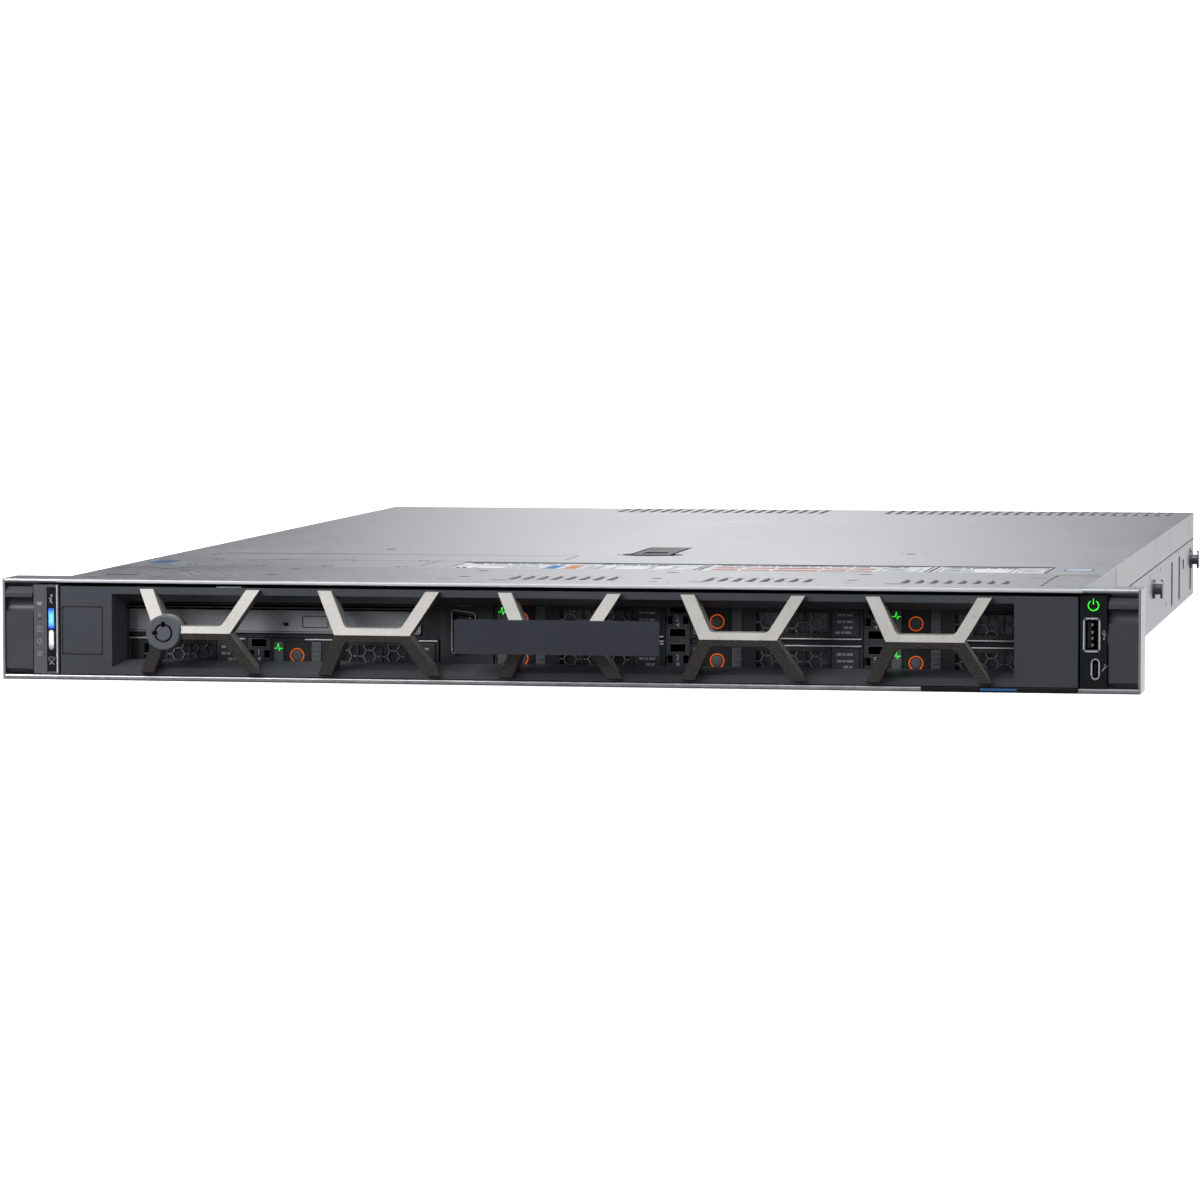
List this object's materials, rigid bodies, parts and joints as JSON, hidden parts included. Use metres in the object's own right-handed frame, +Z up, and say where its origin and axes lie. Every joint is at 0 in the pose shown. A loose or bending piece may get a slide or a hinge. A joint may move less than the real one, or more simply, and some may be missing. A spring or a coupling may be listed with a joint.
{
  "type": "1u rack server",
  "caption": "Low rack-mount computer case with ears, a lockable lattice bezel, front drive bays, a sliding top cover and pull-out power supplies.",
  "frame": {"origin": "on the plane where the ears meet the rack's front rails, midway between the two ear holes", "axes": "+X to the right seen from the front, +Y to the rear of the case, +Z up"},
  "size_m": [0.482, 0.6937, 0.0428],
  "materials": {
    "galvanised": "satin zinc-plated sheet steel",
    "bright_steel": "bright plated steel",
    "web_metal": "satin anodised, warm grey",
    "bezel_plastic": "fine texture, dark blue-grey",
    "panel_plastic": "fine texture, near black",
    "latch_plastic": "fine texture, near black",
    "badge_plastic": "satin black",
    "light_bar_blue": "lit light guide",
    "light_bar_white": "lit light guide",
    "key_metal": "dark nickel",
    "carrier_plastic": "fine texture, black",
    "button_plastic": "fine texture, black",
    "drive_metal": "cast, satin",
    "board_green": "solder mask",
    "connector_black": "moulded",
    "memory_green": "solder mask",
    "sink_metal": "extruded",
    "fan_plastic": "moulded",
    "cable_black": "smooth jacket",
    "psu_metal": "satin plated",
    "handle_plastic": "moulded",
    "release_orange": "moulded terracotta"
  },
  "bodies": {
    "chassis": {"chassis_tray": "galvanised", "front_deck": "galvanised", "ear_bracket_left": "bright_steel", "ear_bracket_right": "bright_steel", "rail_studs": "bright_steel", "control_panel_left": "panel_plastic", "control_panel_right": "panel_plastic", "front_ports": "bright_steel", "drive_cage": "galvanised", "bay_number_frames": "button_plastic", "drive_carriers": "carrier_plastic", "hard_drives": "drive_metal", "optical_drive": "panel_plastic", "video_port_front": "panel_plastic", "backplane": "board_green", "fan_housings": "fan_plastic", "system_board": "board_green", "board_connectors": "connector_black", "memory_modules": "memory_green", "cpu_heatsinks": "sink_metal", "air_shroud": "connector_black", "rear_ports": "bright_steel", "rear_panel": "bright_steel", "drive_cables": "cable_black"},
    "cover": {"top_cover": "galvanised", "latch_well": "latch_plastic"},
    "latch_lever": {"latch_lever": "latch_plastic"},
    "latch_lock": {"latch_lock": "bright_steel"},
    "slam_latch_left": {"slam_latch_left": "latch_plastic"},
    "slam_latch_right": {"slam_latch_right": "latch_plastic"},
    "status_button": {"status_button": "light_bar_blue"},
    "wireless_button": {"wireless_button": "light_bar_white"},
    "power_button": {"power_button": "panel_plastic"},
    "bezel": {"bezel_frame": "bezel_plastic", "bezel_web": "web_metal", "bezel_badge": "badge_plastic"},
    "bezel_release": {"bezel_release": "bezel_plastic"},
    "key_lock": {"key_lock": "key_metal"},
    "info_tag": {"info_tag": "button_plastic"},
    "eject_button": {"eject_button": "button_plastic"},
    "drive_button_0": {"drive_button_0": "button_plastic"},
    "drive_button_1": {"drive_button_1": "button_plastic"},
    "drive_button_2": {"drive_button_2": "button_plastic"},
    "drive_button_3": {"drive_button_3": "button_plastic"},
    "drive_button_4": {"drive_button_4": "button_plastic"},
    "drive_button_5": {"drive_button_5": "button_plastic"},
    "drive_button_6": {"drive_button_6": "button_plastic"},
    "drive_button_7": {"drive_button_7": "button_plastic"},
    "psu_1": {"psu_1_housing": "psu_metal", "psu_1_handle": "handle_plastic"},
    "psu_1_latch": {"psu_1_latch": "release_orange"},
    "psu_2": {"psu_2_housing": "psu_metal", "psu_2_handle": "handle_plastic"},
    "psu_2_latch": {"psu_2_latch": "release_orange"},
    "fan_rotor_1": {"fan_rotor_1": "fan_plastic"},
    "fan_rotor_2": {"fan_rotor_2": "fan_plastic"},
    "fan_rotor_3": {"fan_rotor_3": "fan_plastic"},
    "fan_rotor_4": {"fan_rotor_4": "fan_plastic"},
    "fan_rotor_5": {"fan_rotor_5": "fan_plastic"},
    "fan_rotor_6": {"fan_rotor_6": "fan_plastic"}
  },
  "joints": [
    {"name": "cover_slide", "type": "slide", "parent": "chassis", "child": "cover", "axis": [0, 1, 0], "range_m": [0, 0.014]},
    {"name": "latch_lift", "type": "hinge", "parent": "cover", "child": "latch_lever", "pos_m": [0, 0.24601, 0.0164], "axis": [-1, 0, 0], "range_deg": [0, 75]},
    {"name": "latch_lock_turn", "type": "hinge", "parent": "cover", "child": "latch_lock", "pos_m": [0, 0.19001, 0.01], "axis": [0, 0, -1], "range_deg": [0, 90]},
    {"name": "slam_latch_left_pull", "type": "hinge", "parent": "chassis", "child": "slam_latch_left", "pos_m": [-0.234, -0.0165, 0.0135], "axis": [-1, 0, 0], "range_deg": [0, 45]},
    {"name": "slam_latch_right_pull", "type": "hinge", "parent": "chassis", "child": "slam_latch_right", "pos_m": [0.234, -0.0165, 0.0135], "axis": [-1, 0, 0], "range_deg": [0, 45]},
    {"name": "status_button_press", "type": "slide", "parent": "chassis", "child": "status_button", "axis": [0, 1, 0], "range_m": [0, 0.0005], "stiffness_N_per_m": 800},
    {"name": "wireless_button_press", "type": "slide", "parent": "chassis", "child": "wireless_button", "axis": [0, 1, 0], "range_m": [0, 0.0005], "stiffness_N_per_m": 800},
    {"name": "power_button_press", "type": "slide", "parent": "chassis", "child": "power_button", "axis": [0, 1, 0], "range_m": [0, 0.0008], "stiffness_N_per_m": 800},
    {"name": "bezel_swing", "type": "hinge", "parent": "chassis", "child": "bezel", "pos_m": [0.215, -0.0214, 0], "axis": [0, 0, 1], "range_deg": [0, 30]},
    {"name": "bezel_release_press", "type": "slide", "parent": "bezel", "child": "bezel_release", "axis": [0, 1, 0], "range_m": [0, 0.001], "stiffness_N_per_m": 800},
    {"name": "key_lock_turn", "type": "hinge", "parent": "bezel", "child": "key_lock", "pos_m": [-0.1668, -0.03, 0], "axis": [0, 1, 0], "range_deg": [0, 90]},
    {"name": "info_tag_pull", "type": "slide", "parent": "chassis", "child": "info_tag", "axis": [0, -1, 0], "range_m": [0, 0.07]},
    {"name": "eject_button_press", "type": "slide", "parent": "chassis", "child": "eject_button", "axis": [0, 1, 0], "range_m": [0, 0.0005], "stiffness_N_per_m": 600},
    {"name": "drive_button_0_press", "type": "slide", "parent": "chassis", "child": "drive_button_0", "axis": [0, 1, 0], "range_m": [0, 0.001], "stiffness_N_per_m": 800},
    {"name": "drive_button_1_press", "type": "slide", "parent": "chassis", "child": "drive_button_1", "axis": [0, 1, 0], "range_m": [0, 0.001], "stiffness_N_per_m": 800},
    {"name": "drive_button_2_press", "type": "slide", "parent": "chassis", "child": "drive_button_2", "axis": [0, 1, 0], "range_m": [0, 0.001], "stiffness_N_per_m": 800},
    {"name": "drive_button_3_press", "type": "slide", "parent": "chassis", "child": "drive_button_3", "axis": [0, 1, 0], "range_m": [0, 0.001], "stiffness_N_per_m": 800},
    {"name": "drive_button_4_press", "type": "slide", "parent": "chassis", "child": "drive_button_4", "axis": [0, 1, 0], "range_m": [0, 0.001], "stiffness_N_per_m": 800},
    {"name": "drive_button_5_press", "type": "slide", "parent": "chassis", "child": "drive_button_5", "axis": [0, 1, 0], "range_m": [0, 0.001], "stiffness_N_per_m": 800},
    {"name": "drive_button_6_press", "type": "slide", "parent": "chassis", "child": "drive_button_6", "axis": [0, 1, 0], "range_m": [0, 0.001], "stiffness_N_per_m": 800},
    {"name": "drive_button_7_press", "type": "slide", "parent": "chassis", "child": "drive_button_7", "axis": [0, 1, 0], "range_m": [0, 0.001], "stiffness_N_per_m": 800},
    {"name": "psu_1_pull", "type": "slide", "parent": "chassis", "child": "psu_1", "axis": [0, 1, 0], "range_m": [0, 0.18]},
    {"name": "psu_1_latch_squeeze", "type": "slide", "parent": "psu_1", "child": "psu_1_latch", "axis": [-1, 0, 0], "range_m": [0, 0.0015], "stiffness_N_per_m": 1200},
    {"name": "psu_2_pull", "type": "slide", "parent": "chassis", "child": "psu_2", "axis": [0, 1, 0], "range_m": [0, 0.18]},
    {"name": "psu_2_latch_squeeze", "type": "slide", "parent": "psu_2", "child": "psu_2_latch", "axis": [-1, 0, 0], "range_m": [0, 0.0015], "stiffness_N_per_m": 1200},
    {"name": "fan_1_spin", "type": "hinge", "parent": "chassis", "child": "fan_rotor_1", "pos_m": [-0.17, 0.165, -0.0002], "axis": [0, 1, 0], "continuous": true},
    {"name": "fan_2_spin", "type": "hinge", "parent": "chassis", "child": "fan_rotor_2", "pos_m": [-0.102, 0.165, -0.0002], "axis": [0, 1, 0], "continuous": true},
    {"name": "fan_3_spin", "type": "hinge", "parent": "chassis", "child": "fan_rotor_3", "pos_m": [-0.034, 0.165, -0.0002], "axis": [0, 1, 0], "continuous": true},
    {"name": "fan_4_spin", "type": "hinge", "parent": "chassis", "child": "fan_rotor_4", "pos_m": [0.034, 0.165, -0.0002], "axis": [0, 1, 0], "continuous": true},
    {"name": "fan_5_spin", "type": "hinge", "parent": "chassis", "child": "fan_rotor_5", "pos_m": [0.102, 0.165, -0.0002], "axis": [0, 1, 0], "continuous": true},
    {"name": "fan_6_spin", "type": "hinge", "parent": "chassis", "child": "fan_rotor_6", "pos_m": [0.17, 0.165, -0.0002], "axis": [0, 1, 0], "continuous": true}
  ],
  "couplings": [
    {"joint": "latch_lift", "follows": "cover_slide", "rad_per_m": 93.5}
  ]
}
